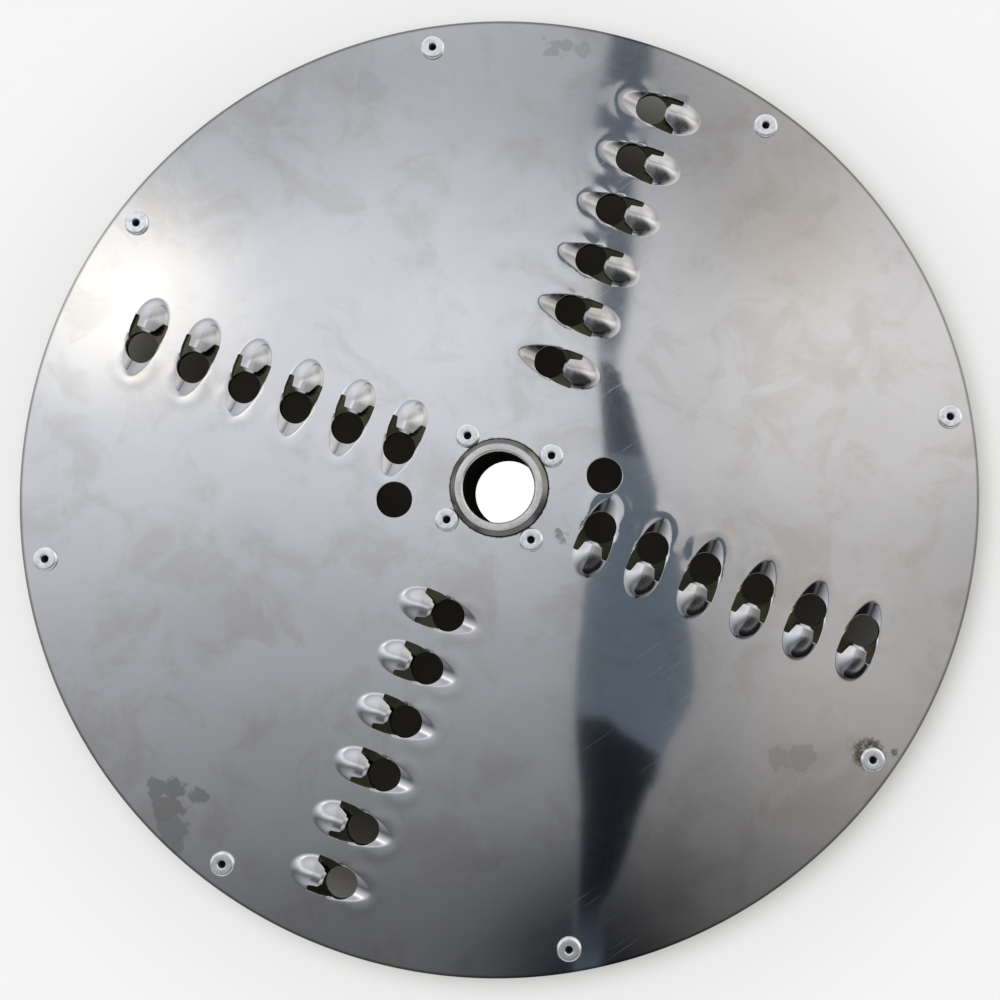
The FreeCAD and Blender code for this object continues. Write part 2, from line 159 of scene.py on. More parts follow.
class DISC_PG_rivets(PropertyGroup):
    """Blind rivets and the mandrel ends inside them"""
    head_radius: length("Head radius", "Radius of a rivet's head", 4.1)
    head_height: length("Head height", "Height of a rivet's head", 1.1)
    shank_radius: length("Shank radius", "Radius of a rivet's shank", 2.0)
    hole_radius: length("Hole radius", "Radius of the hole through a rivet", 1.25)
    bulb_radius: length("Bulb radius", "Radius of the set end", 3.0)
    bulb_height: length("Bulb height", "Height of the set end", 2.6)
    tail_length: length("Tail length", "Length of the plain end below the set end", 1.0)
    stem_depth: length("Stem depth", "How deep the broken mandrel lies below the head's seat", 1.6)
    stem_head_radius: length("Stem head radius", "Radius of the mandrel's head", 1.9)
    stem_head_height: length("Stem head height", "Height of the mandrel's head", 1.5)
    rim_inset: length("Rim inset", "Distance of the rim's rivets from the edge", 7.75)
    rim_count: count("Rim count", "Rivets near the rim", 8)
    rim_angle: angle("Rim angle", "Place of the first rivet near the rim", 30.4)
    hub_circle_radius: length("Hub circle radius", "Radius of the circle of the hub's rivets", 20.7)
    hub_count: count("Hub count", "Rivets at the hub", 4)
    hub_angle: angle("Hub angle", "Place of the first rivet at the hub", 53.0)
    segments: count("Segments", "Facets round a rivet", 48)
    metal: colour("Metal", "Colour of the rivets", (0.86, 0.88, 0.91))


class DISC_PG_stage(PropertyGroup):
    """Camera, floor and light"""
    camera_place: FloatVectorProperty(name="Camera place", description="Where the camera stands", size=3,
                                      default=(0.0525, -0.0118, 0.4366), subtype="TRANSLATION", unit="LENGTH")
    camera_lens: FloatProperty(name="Camera lens", description="Focal length in millimetres for a 36 mm sensor",
                               default=43.2)
    camera_shift: FloatProperty(name="Camera shift", description="Sideways shift of the frame", default=-0.13)
    floor_colour: colour("Floor colour", "Colour of the floor", (0.66, 0.66, 0.64))
    floor_size: length("Floor size", "Side of the floor", 30000.0)


# Mesh helpers

SHARP_ANGLE = math.radians(40)


def new_object(name, data):
    made = bpy.data.objects.new(name, data)
    bpy.context.scene.collection.objects.link(made)
    return made


def new_piece(name, vertices, faces, material, node):
    mesh = bpy.data.meshes.new(name)
    mesh.from_pydata(vertices, [], faces)
    mesh.validate()
    mesh.shade_smooth()
    mesh.set_sharp_from_angle(angle=SHARP_ANGLE)
    mesh.materials.append(material)
    piece = new_object(name, mesh)
    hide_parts(node)
    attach(piece, "root")
    return piece


def round_corner(before, corner, after, radius):
    """Points of a quadratic curve that takes a corner off."""
    before, corner, after = (np.array(point, float) for point in (before, corner, after))
    first = corner + (before - corner) * min(radius / np.linalg.norm(before - corner), 0.45)
    last = corner + (after - corner) * min(radius / np.linalg.norm(after - corner), 0.45)
    return [(1 - t) ** 2 * first + 2 * t * (1 - t) * corner + t ** 2 * last for t in np.linspace(0, 1, 5)]


def rounded_loop(corners, radii):
    """A closed outline whose corners are rounded, each by its own radius, or left sharp by a radius of 0."""
    points = []
    for index, corner in enumerate(corners):
        before, after, radius = corners[index - 1], corners[(index + 1) % len(corners)], radii[index]
        points += round_corner(before, corner, after, radius) if radius else [np.array(corner, float)]
    return np.array(points)


def divided(points, step):
    """The same line with points no further apart than step."""
    result = []
    for start, end in zip(points, points[1:]):
        parts = max(1, math.ceil(np.linalg.norm(end - start) / step))
        result += [start + (end - start) * part / parts for part in range(parts)]
    return np.array([*result, points[-1]])


def resampled(points, step):
    """The same line with points at even distances of about step."""
    lengths = np.concatenate([[0.0], np.cumsum(np.linalg.norm(np.diff(points, axis=0), axis=1))])
    places = np.linspace(0, lengths[-1], math.ceil(lengths[-1] / step) + 1)
    return np.column_stack([np.interp(places, lengths, points[:, 0]), np.interp(places, lengths, points[:, 1])])


def unit(vectors):
    """The same directions, all of length one."""
    return vectors / np.maximum(np.linalg.norm(vectors, axis=1), 1e-12)[:, None]


def outward_normals(outline):
    """Unit vectors that point out of a closed counter-clockwise outline at each of its points."""
    along = unit(np.roll(outline, -1, axis=0) - np.roll(outline, 1, axis=0))
    return np.column_stack([along[:, 1], -along[:, 0]])


def smooth(value, start, end):
    """A smooth step from 0 at start to 1 at end."""
    share = np.clip((value - start) / (end - start), 0, 1)
    return share ** 2 * (3 - 2 * share)


def inside(points, outline):
    """Which points lie inside a closed outline, by counting the edges to their right."""
    x, y = points[:, 0], points[:, 1]
    crossings = np.zeros(len(points), bool)
    for (x1, y1), (x2, y2) in zip(outline, np.roll(outline, -1, axis=0)):
        if y1 == y2:
            continue
        spans = (y1 > y) != (y2 > y)
        crossings ^= spans & (x < x1 + (y - y1) * (x2 - x1) / (y2 - y1))
    return crossings


def hexagonal(low, high, step):
    """Points of an even grid of triangles."""
    rows = []
    for index, y in enumerate(np.arange(low[1], high[1], step * math.sqrt(3) / 2)):
        row = np.arange(low[0] + (index % 2) * step / 2, high[0], step)
        rows.append(np.column_stack([row, np.full(len(row), y)]))
    return np.concatenate(rows)


def circle(centre, radius, count):
    turns = np.arange(count) * 2 * math.pi / count
    return np.column_stack([centre[0] + radius * np.cos(turns), centre[1] + radius * np.sin(turns)])


def distances(points, centre=(0.0, 0.0)):
    """Distance from each point to one place."""
    return np.hypot(points[:, 0] - centre[0], points[:, 1] - centre[1])


def nearest(points, others):
    """Distance from each point to the nearest of the others."""
    parts = np.array_split(points, len(points) // 4000 + 1)
    return np.concatenate([np.linalg.norm(part[:, None, :] - others[None, :, :], axis=2).min(axis=1)
                           for part in parts])


def turned_piece(name, profile, segments, places, material, node):
    """A closed (radius, height) profile turned about the Z axis, and stood at each (x, y, z) place."""
    number = len(profile)
    turns = np.arange(segments) * 2 * math.pi / segments
    ring = np.array([(radius * math.cos(turn), radius * math.sin(turn), height)
                     for turn in turns for radius, height in profile])
    vertices, faces = [], []
    for place in places:
        start = len(vertices)
        vertices += (ring + np.array(place)).tolist()
        for segment in range(segments):
            here, there = start + segment * number, start + (segment + 1) % segments * number
            faces += [(here + index, there + index, there + (index + 1) % number, here + (index + 1) % number)
                      for index in range(number)]
    return new_piece(name, vertices, faces, material, node)


# Shader helpers

class Nodes:
    """A node tree, and short ways to add nodes to it."""

    def __init__(self, tree):
        self.tree = tree

    def first(self, kind):
        """The node of a kind that the tree has from the start."""
        return next(node for node in self.tree.nodes if node.type == kind)

    def feed(self, socket, value):
        if isinstance(value, bpy.types.NodeSocket):
            self.tree.links.new(value, socket)
        else:
            socket.default_value = value

    def add(self, kind, inputs=(), **settings):
        """A new node with its settings, and a value or a link for each input that is given."""
        node = self.tree.nodes.new(kind)
        for key, value in settings.items():
            setattr(node, key, value)
        for key, value in dict(inputs).items():
            self.feed(node.inputs[key], value)
        return node

    def math(self, operation, *values):
        return self.add("ShaderNodeMath", enumerate(values), operation=operation).outputs[0]

    def times(self, first, second):
        return self.math("MULTIPLY", first, second)

    def total(self, *values):
        result = values[0]
        for value in values[1:]:
            result = self.math("ADD", result, value)
        return result

    def larger(self, first, second):
        return self.math("MAXIMUM", first, second)

    def across(self, first, second):
        """The long side of a triangle with two sides at right angles."""
        return self.math("SQRT", self.total(self.math("POWER", first, 2.0), self.math("POWER", second, 2.0)))

    def vector(self, operation, *values):
        """The results of a calculation with vectors."""
        return self.add("ShaderNodeVectorMath", enumerate(values), operation=operation).outputs

    def step(self, value, low, high, to_low=0.0, to_high=1.0):
        """A smooth step from one value to another."""
        inputs = {"Value": value, "From Min": low, "From Max": high, "To Min": to_low, "To Max": to_high}
        return self.add("ShaderNodeMapRange", inputs, interpolation_type="SMOOTHSTEP").outputs["Result"]

    def mix(self, amount, first, second):
        first, second = (value if isinstance(value, bpy.types.NodeSocket) else (*value, 1.0)
                         for value in (first, second))
        return self.add("ShaderNodeMix", {"Factor": amount, 6: first, 7: second}, data_type="RGBA").outputs[2]

    def show(self, kind, amount, first, second):
        """Mix two shaders and lead them to the output of a kind."""
        mixed = self.add("ShaderNodeMixShader", {0: amount, 1: first.outputs[0], 2: second.outputs[0]})
        self.feed(self.first(kind).inputs["Surface"], mixed.outputs[0])


class Recipe(Nodes):
    """A material with one Principled shader and the nodes that feed it."""

    def __init__(self, name):
        self.material = bpy.data.materials.new(name)
        self.material.use_nodes = True
        super().__init__(self.material.node_tree)
        self.shader = self.first("BSDF_PRINCIPLED")
        self.place = self.add("ShaderNodeTexCoord").outputs["Object"]

    def noise(self, scale, detail, roughness, vector=None, distortion=0.0):
        inputs = {"Vector": vector or self.place, "Scale": scale, "Detail": detail, "Roughness": roughness,
                  "Distortion": distortion}
        return self.add("ShaderNodeTexNoise", inputs).outputs["Fac"]

    def distance(self, place):
        """Distance from an (x, y) place on the sheet's face."""
        return self.vector("DISTANCE", self.place, (*place, SHEET_TOP))["Value"]

    def axis(self, name):
        return self.add("ShaderNodeSeparateXYZ", {0: self.place}).outputs[name]

    def radius(self):
        """Distance from the disc's axis."""
        return self.across(self.axis("X"), self.axis("Y"))

    def bump(self, height, distance, strength):
        inputs = {"Strength": strength, "Distance": distance, "Height": height}
        return self.add("ShaderNodeBump", inputs).outputs["Normal"]

    def finish(self, colour, roughness, normal=None, metallic=1.0):
        for name, value in (("Base Color", colour), ("Roughness", roughness), ("Metallic", metallic)):
            self.feed(self.shader.inputs[name], value)
        if normal:
            self.feed(self.shader.inputs["Normal"], normal)
        return self.material


def darker(colour, share):
    return tuple(channel * share for channel in colour)


# Finishes

SCRATCH_TURN = 0.6
# Painted shade where the hub's collar stands on the sheet: a ring on the sheet and a band on the hub's wall
HUB_FOOT_SHADE = (0.03, 0.03, 0.025)
# Dried water marks on the sheet: centre, radius, how dark
WATER_MARKS = (
    ((-0.0690, -0.1350), 0.0036, 0.75),
    ((-0.0635, -0.1335), 0.0038, 0.80),
    ((-0.0550, -0.1318), 0.0032, 0.75),
    ((-0.0630, -0.1395), 0.0050, 0.75),
    ((-0.0590, -0.1450), 0.0050, 0.60),
    ((-0.0570, -0.1500), 0.0040, 0.50),
    ((-0.093, 0.112), 0.0055, 0.16),
    ((-0.118, 0.094), 0.0050, 0.12),
    ((0.1275, -0.0475), 0.0044, 0.40),
    ((0.1210, -0.0500), 0.0036, 0.35),
    ((-0.0395, 0.1490), 0.0028, 0.42),
    ((-0.0355, 0.1500), 0.0026, 0.45),
    ((-0.0305, 0.1520), 0.0025, 0.32),
    ((0.0089, 0.1474), 0.0024, 0.55),
    ((0.0250, -0.0080), 0.0014, 0.95),
)
CORRODED_RIVET = (0.1478, -0.0376)
RUST_SPOT = (0.1557, -0.0343)
BROWN_PATCH = (0.064, 0.116)


def worn_sheet(sizes, collar_radius):
    """Stainless sheet, hazy with fine wear, with water marks and one rusty rivet seat, and with painted shade
    along its rim and round the hub's collar.
    """
    recipe = Recipe("worn_sheet_steel")
    mix, step, times, total = recipe.mix, recipe.step, recipe.times, recipe.total
    clouds = recipe.noise(22.0, 4.0, 0.6, distortion=0.4)
    grain = recipe.noise(5200.0, 1.0, 0.7)
    crust = recipe.noise(560.0, 2.5, 0.65)
    turned = recipe.add("ShaderNodeVectorRotate", {"Vector": recipe.place, "Angle": SCRATCH_TURN},
                        rotation_type="Z_AXIS")
    stretched = recipe.vector("MULTIPLY", turned.outputs[0], (1500.0, 26.0, 60.0))[0]
    scratches = step(recipe.noise(1.0, 2.0, 0.8, stretched), 0.66, 0.72)

    shade = mix(step(clouds, 0.35, 0.68), sizes.steel, darker(sizes.steel, 0.93))
    wobble = times(recipe.noise(260.0, 2.0, 0.5), 0.009)
    marks = 0.0
    for place, radius, strength in WATER_MARKS:
        gap = total(recipe.distance(place), wobble)
        marks = recipe.larger(marks, times(step(gap, radius + 0.0052, radius + 0.0039), strength))
    shade = mix(times(marks, 0.85), shade, sizes.stain)
    brown_gap = total(recipe.distance(BROWN_PATCH), times(clouds, 0.03))
    shade = mix(times(step(brown_gap, 0.050, 0.020), 0.30), shade, (0.46, 0.39, 0.30))
    mottle = recipe.noise(48.0, 5.0, 0.62, distortion=0.5)
    shade = mix(step(mottle, 0.47, 0.66, 0.0, 0.30), shade, (0.40, 0.375, 0.33))

    rust_wobble = times(crust, 0.0065)
    seat = step(total(recipe.distance(CORRODED_RIVET), rust_wobble), 0.0094, 0.0072)
    spot = step(total(recipe.distance(RUST_SPOT), rust_wobble), 0.0050, 0.0036)
    rust = times(recipe.larger(seat, spot), step(crust, 0.36, 0.52, 0.35, 1.0))
    shade = mix(times(rust, 0.9), shade, (0.085, 0.07, 0.022))
    radius = recipe.radius()
    # painted shade: a dark band along the rounded rim
    rim = step(radius, DISC_RADIUS - 1.3 * MM, DISC_RADIUS - 0.5 * MM)
    shade = mix(times(rim, 0.7), shade, (0.13, 0.12, 0.10))
    # painted shade: a ragged dark ring on the sheet in the joint round the hub's collar
    collar_gap = total(radius, times(crust, -0.0009))
    collar = step(collar_gap, collar_radius + 0.25 * MM, collar_radius - 0.25 * MM)
    shade = mix(times(collar, 0.9), shade, HUB_FOOT_SHADE)

    dull = step(grain, recipe.math("MULTIPLY_ADD", clouds, -0.10, 0.58), 0.62, 0.0, 0.06)
    raised = step(recipe.axis("Z"), SHEET_TOP + 0.2 * MM, SHEET_TOP + 1.2 * MM, 0.0, 0.17)
    haze = total(dull, sizes.haze, times(marks, 0.05), times(rust, 0.40), times(scratches, 0.10), raised)
    return recipe.finish(shade, haze)


def clouded_metal(name, scale, spread, first, second, roughness, depth, grain=None):
    """Metal in two shades, uneven in its polish. Roughness is how much it varies, and its least."""
    recipe = Recipe(name)
    clouds = recipe.noise(scale, 4.0, 0.6)
    grain = recipe.noise(grain, 2.0, 0.6) if grain else clouds
    shade = recipe.mix(recipe.step(clouds, *spread), first, second)
    rough = recipe.math("MULTIPLY_ADD", grain, *roughness)
    return recipe.finish(shade, rough, recipe.bump(grain, depth, 0.5))


def turned_steel(sizes):
    """Turned hub: fine rings round the axis, uneven in its polish and rougher in the bore, with painted shade on
    the chamfer, in the bore and on its wall where it meets the sheet.
    """
    recipe = Recipe("turned_hub_steel")
    mix, step, times = recipe.mix, recipe.step, recipe.times
    radius, height = recipe.radius(), recipe.axis("Z")
    rings = recipe.math("SINE", times(radius, 2 * math.pi / (0.12 * MM)))
    clouds = recipe.noise(160.0, 4.0, 0.6)
    # painted shade on the collar's chamfer
    chamfer = times(step(radius, sizes.barrel_radius - 1.85 * MM, sizes.barrel_radius - 1.65 * MM),
                    step(height, HUB_HIGH[2] - 3 * MM, HUB_HIGH[2] - 2.4 * MM))
    shade = mix(step(clouds, 0.4, 0.7), sizes.steel, darker(sizes.steel, 0.8))
    shade = mix(times(chamfer, 0.85), shade, (0.12, 0.115, 0.095))
    # painted shade in the bore
    in_bore = step(radius, BORE_RADIUS + 0.25 * MM, BORE_RADIUS + 0.05 * MM)
    shade = mix(in_bore, shade, (0.030, 0.028, 0.022))
    # painted shade on the hub's wall just above and below the sheet's face
    low = times(step(height, SHEET_TOP + 1.0 * MM, SHEET_TOP + 0.7 * MM),
                step(height, SHEET_TOP - 2 * MM, SHEET_TOP - 1 * MM))
    shade = mix(times(low, 0.9), shade, HUB_FOOT_SHADE)
    rough = recipe.total(recipe.math("MULTIPLY_ADD", clouds, 0.2, 0.14), times(in_bore, 0.25))
    return recipe.finish(shade, rough, recipe.bump(rings, 0.004 * MM, 0.5))


def stem_metal():
    recipe = Recipe("dark_stem_metal")
    clouds = recipe.noise(1500.0, 4.0, 0.7)
    shade = recipe.mix(clouds, (0.006, 0.006, 0.005), (0.04, 0.038, 0.034))
    return recipe.finish(shade, 0.6, recipe.bump(clouds, 0.05 * MM, 1.0))


# The pressed sheet

STEEPEST_SHADED = 0.50
# Boxes round a tooth: to each side of it, back to its end and forward past its ramp
OPENING_BOX = (8 * MM, -12 * MM, 12 * MM)
FINE_BOX = (10.5 * MM, -23 * MM, 16.5 * MM)
TOOTH_BOX = (14 * MM, -24 * MM, 20 * MM)


def scoop_foot(tooth):
    """Half the width of a scoop where its skirt meets the flat."""
    return math.sqrt((tooth.scoop_radius + tooth.skirt_radius) ** 2 - tooth.skirt_radius ** 2)


def scoop_meet(tooth):
    """Half the width of a scoop where its crown turns into its skirt."""
    return tooth.scoop_radius * scoop_foot(tooth) / (tooth.scoop_radius + tooth.skirt_radius)


def scoop_squeeze(tooth):
    """How much the scoop is drawn in behind its shoulder, so that it falls gently to its end."""
    return scoop_foot(tooth) / (tooth.end - tooth.shoulder)


def scoop_share(along, tooth):
    """0 on the ramp, 1 on the scoop and a smooth change between them."""
    return smooth(-along, tooth.window_front, tooth.window_front + 2.4 * MM)


def scoop_height(across, along, tooth):
    """Height of the scoop: a round crown that runs out into the sheet with a flared skirt."""
    crown, skirt, foot = tooth.scoop_radius, tooth.skirt_radius, scoop_foot(tooth)
    gap = np.hypot(across, np.minimum(along + tooth.shoulder, 0) * scoop_squeeze(tooth))
    on_crown = np.sqrt(np.maximum(crown ** 2 - gap ** 2, 0))
    on_skirt = skirt - np.sqrt(np.maximum(skirt ** 2 - (gap - foot) ** 2, 0))
    height = np.where(gap < scoop_meet(tooth), on_crown, np.where(gap < foot, on_skirt, 0.0))
    return height * scoop_share(along, tooth)


def ramp_sides(across, tooth):
    """How far the dished ramp rises from its middle to its sides."""
    radius = tooth.ramp_radius
    return (radius - np.sqrt(np.maximum(radius ** 2 - across ** 2, 0))) / math.cos(tooth.ramp_angle)


def ramp_height(across, along, tooth):
    """Depth of the dished ramp, a tilted cylinder, with softened edges."""
    bare = ramp_sides(across, tooth) - (tooth.ramp_reach - along) * math.tan(tooth.ramp_angle)
    dished = (bare - np.sqrt(bare ** 2 + tooth.edge_softness ** 2)) / 2
    return dished * smooth(along, -tooth.window_front - 2.4 * MM, -tooth.window_front + 0.2 * MM)


def halo(across, along, tooth):
    """The low swelling that the press leaves round the ramp's tip."""
    gap = np.hypot(across, along - tooth.ramp_reach * 0.62)
    return tooth.halo_height * np.exp(-((gap - 6.2 * MM) / (2.0 * MM)) ** 2) * (along > 0)


def on_tooth(points, place, side, back, front):
    """Points as (across, along) a tooth, and which of them lie in a box round it."""
    x, y, turn = place
    dx, dy = points[:, 0] - x, points[:, 1] - y
    across = dx * math.cos(turn) + dy * math.sin(turn)
    along = dy * math.cos(turn) - dx * math.sin(turn)
    return np.column_stack([across, along]), (np.abs(across) < side) & (along > back) & (along < front)


def sheet_height(points, tooth, sheet, places):
    """Height of the sheet's face over its flat level."""
    x, y = points.T
    radius = distances(points)
    held = np.clip((DISC_RADIUS - 10 * MM - radius) / (40 * MM), 0, 1)
    held = held * np.clip((radius - 26 * MM) / (30 * MM), 0, 1)
    long_wave = np.sin(31 * x + 1.3) * np.cos(27 * y - 0.4)
    short_wave = 0.35 * np.sin(58 * y + 21 * x) + 0.22 * np.sin(96 * x - 40 * y + 2.0)
    height = sheet.waviness * held * (1 + long_wave + short_wave)
    for place in places:
        local, near = on_tooth(points, place, *TOOTH_BOX)
        across, along = local[near].T
        for form in (scoop_height, ramp_height, halo):
            height[near] += form(across, along, tooth)
    return height


def opening_outline(tooth):
    """Outline of one opening: the punched end of the ramp, then the windows on both sides of the tongue."""
    start = math.asin(-tooth.window_front / tooth.hole_radius)
    arc = [np.array((tooth.hole_radius * math.cos(turn), tooth.hole_radius * math.sin(turn)))
           for turn in np.linspace(start, math.pi - start, 40)]
    wide = scoop_foot(tooth) - 0.1 * MM
    left = [(-wide, -tooth.window_spread), (-wide, -tooth.window_back),
            (-tooth.tongue_half_width, -tooth.window_back), (-tooth.nose_half_width, -tooth.lip)]
    right = [(-across, along) for across, along in reversed(left)]
    small = tooth.window_corner
    radii = [0, 3 * small, *[small] * 6, 3 * small, 0]
    lower = rounded_loop([tuple(arc[-1]), *left, *right, tuple(arc[0])], radii)
    return np.concatenate([np.array(arc[:-1]), divided(lower, 0.5 * MM)[:-1]])


def scoop_line(tooth, gap, step):
    """Points on one line of even height round the scoop, from one side past its end to the other."""
    turns = np.linspace(0, math.pi, 60)
    across = np.concatenate([[gap], gap * np.cos(turns), [-gap]])
    along = np.concatenate([[-tooth.window_front], -tooth.shoulder - gap * np.sin(turns) / scoop_squeeze(tooth),
                            [-tooth.window_front]])
    return resampled(np.column_stack([across, along]), step)


def ramp_line(tooth, level, step):
    """Points on one line of the ramp. Level 0 is its edge, and a lower level lies deeper inside it."""
    across = np.linspace(-0.95, 0.95, 241) * tooth.ramp_radius
    along = tooth.ramp_reach - (ramp_sides(across, tooth) - level) / math.tan(tooth.ramp_angle)
    kept = along > -tooth.window_front - 2 * MM
    return resampled(np.column_stack([across[kept], along[kept]]), step)


def tooth_points(tooth, sheet, outline):
    """Mesh points of one tooth round its outline: on lines along its forms, and close together between them."""
    step, foot, meet = sheet.fine_step, scoop_foot(tooth), scoop_meet(tooth)
    gaps = [*np.linspace(0.55 * MM, meet, 7), *np.linspace(meet, foot, 8)[1:], foot + 0.25 * MM, foot + 0.6 * MM]
    lines = [scoop_line(tooth, gap, 0.8 * step) for gap in gaps]
    lines.append(divided(np.array([(0, -tooth.lip), (0, -tooth.shoulder)]), step))
    lines += [ramp_line(tooth, level * MM, 0.7 * step) for level in (0.34, 0.20, 0.10, 0.0, -0.10, -0.24)]
    lines = np.concatenate(lines)
    fine = hexagonal((-8.6 * MM, -6.0 * MM), (8.6 * MM, 13.4 * MM), step)
    on_ramp = (np.hypot(fine[:, 0] * 1.25, fine[:, 1] - 3.0 * MM) < 9.4 * MM) & (fine[:, 1] > -3 * MM)
    fine = fine[(on_ramp | (fine[:, 1] < 2 * MM)) & (nearest(fine, lines) > 0.6 * step)]
    fine = np.concatenate([lines, fine])
    coarse = hexagonal((-9.6 * MM, -21.5 * MM), (9.6 * MM, 15.0 * MM), 2 * step)
    coarse = coarse[nearest(coarse, fine) > 1.2 * step]
    points = np.concatenate([fine, coarse])
    keep = ~inside(points, outline) & (nearest(points, outline) > 0.4 * step)
    return points[keep]


def placed(points, place):
    x, y, turn = place
    return np.column_stack([x + points[:, 0] * math.cos(turn) - points[:, 1] * math.sin(turn),
                            y + points[:, 0] * math.sin(turn) + points[:, 1] * math.cos(turn)])


def rivet_places(rivets, ring, height):
    """The (x, y, z) places of the rivets of one ring, at the rim or at the hub."""
    number, radius, first = {
        "rim": (rivets.rim_count, DISC_RADIUS - rivets.rim_inset, rivets.rim_angle),
        "hub": (rivets.hub_count, rivets.hub_circle_radius, rivets.hub_angle),
    }[ring]
    turns = [first + index * 2 * math.pi / number for index in range(number)]
    return [(radius * math.cos(turn), radius * math.sin(turn), height) for turn in turns]


def round_holes(hub, rivets):
    """(centre, radius, points) of each round hole through the sheet."""
    pin_radius = MOUNTS["drive_pin_holes"]["hole_r_mm"] * MM
    seats = rivet_places(rivets, "rim", 0) + rivet_places(rivets, "hub", 0)
    return [((0.0, 0.0), hub.barrel_radius + 0.05 * MM, 120),
            *[(centre, pin_radius, 64) for centre in opening_centres("drive_pin")],
            *[(seat[:2], rivets.shank_radius + 0.05 * MM, 24) for seat in seats]]


def rounded_edges(points, holes, rounding):
    """How far the face drops at the rounded rim and holes, and how it leans there."""
    radius = distances(points)
    side = points / np.maximum(radius, MM)[:, None]
    nearest_gap = DISC_RADIUS - radius
    for centre, hole_radius, _ in holes:
        distance = distances(points, centre)
        closer = distance - hole_radius < nearest_gap
        nearest_gap[closer] = distance[closer] - hole_radius
        side[closer] = (centre - points[closer]) / distance[closer, None]
    inset = rounding - np.clip(nearest_gap, 0, rounding)
    drop = rounding - np.sqrt(rounding ** 2 - inset ** 2)
    return drop, side * (inset / rounding)[:, None]


def cut_edge_lean(points, places, outline):
    """How the face leans towards each opening right at the opening's edge, where the cut has rounded it."""
    lean = np.zeros_like(points)
    outward = outward_normals(outline)
    for place in places:
        local, near = on_tooth(points, place, *OPENING_BOX)
        near = np.flatnonzero(near)
        gaps = np.linalg.norm(local[near, None, :] - outline[None, :, :], axis=2)
        closest = gaps.argmin(axis=1)
        on_edge = gaps[np.arange(len(near)), closest] < 0.001 * MM
        lean[near[on_edge]] = placed(-outward[closest[on_edge]], (0.0, 0.0, place[2]))
    return lean


def sheet_points(tooth, sheet, places, holes, outline):
    """The loops of points round the rim and each opening, and these together with all other mesh points."""
    rounding = sheet.edge_rounding

    def round_loops(inset):
        return [circle((0, 0), DISC_RADIUS - inset, 360),
                *[circle(centre, radius + inset, number) for centre, radius, number in holes]]

    loops = round_loops(0) + [placed(outline, place) for place in places]
    rings = [loop for share in (0.15, 0.5, 1.0) for loop in round_loops(share * rounding)]
    rings.append(circle((0, 0), DISC_RADIUS - 1.5 * MM, 180))
    rings += [placed(outline + outward_normals(outline) * sheet.cut_rounding, place) for place in places]

    template = tooth_points(tooth, sheet, outline)
    free = np.concatenate([placed(template, place) for place in places])
    flat = hexagonal((-DISC_RADIUS, -DISC_RADIUS), (DISC_RADIUS, DISC_RADIUS), sheet.coarse_step)
    flat = flat[distances(flat) < DISC_RADIUS - 3 * MM]
    for place in places:
        flat = flat[~on_tooth(flat, place, *FINE_BOX)[1]]
    for centre, radius, _ in holes:
        free = free[distances(free, centre) > radius + rounding + 0.4 * MM]
        flat = flat[distances(flat, centre) > radius + rounding + 1.2 * MM]
    return loops, np.concatenate([*loops, *rings, free, flat])


def sheet_triangles(points, loops, places, holes, outline):
    """Points and triangles of the flat sheet, without its openings."""
    edges, start = [], 0
    for loop in loops:
        edges += [(start + index, start + (index + 1) % len(loop)) for index in range(len(loop))]
        start += len(loop)
    made = delaunay_2d_cdt([Vector(point) for point in points.tolist()], edges, [], 0, 1e-9)
    points = np.array([tuple(point) for point in made[0]])
    triangles = np.array([tuple(face) for face in made[2]])
    middles = points[triangles].mean(axis=1)
    solid = distances(middles) < DISC_RADIUS
    for centre, radius, _ in holes:
        solid &= distances(middles, centre) > radius * 0.999
    for place in places:
        local, near = on_tooth(middles, place, *OPENING_BOX)
        solid[near] &= ~inside(local[near], outline)
    return points, triangles[solid]


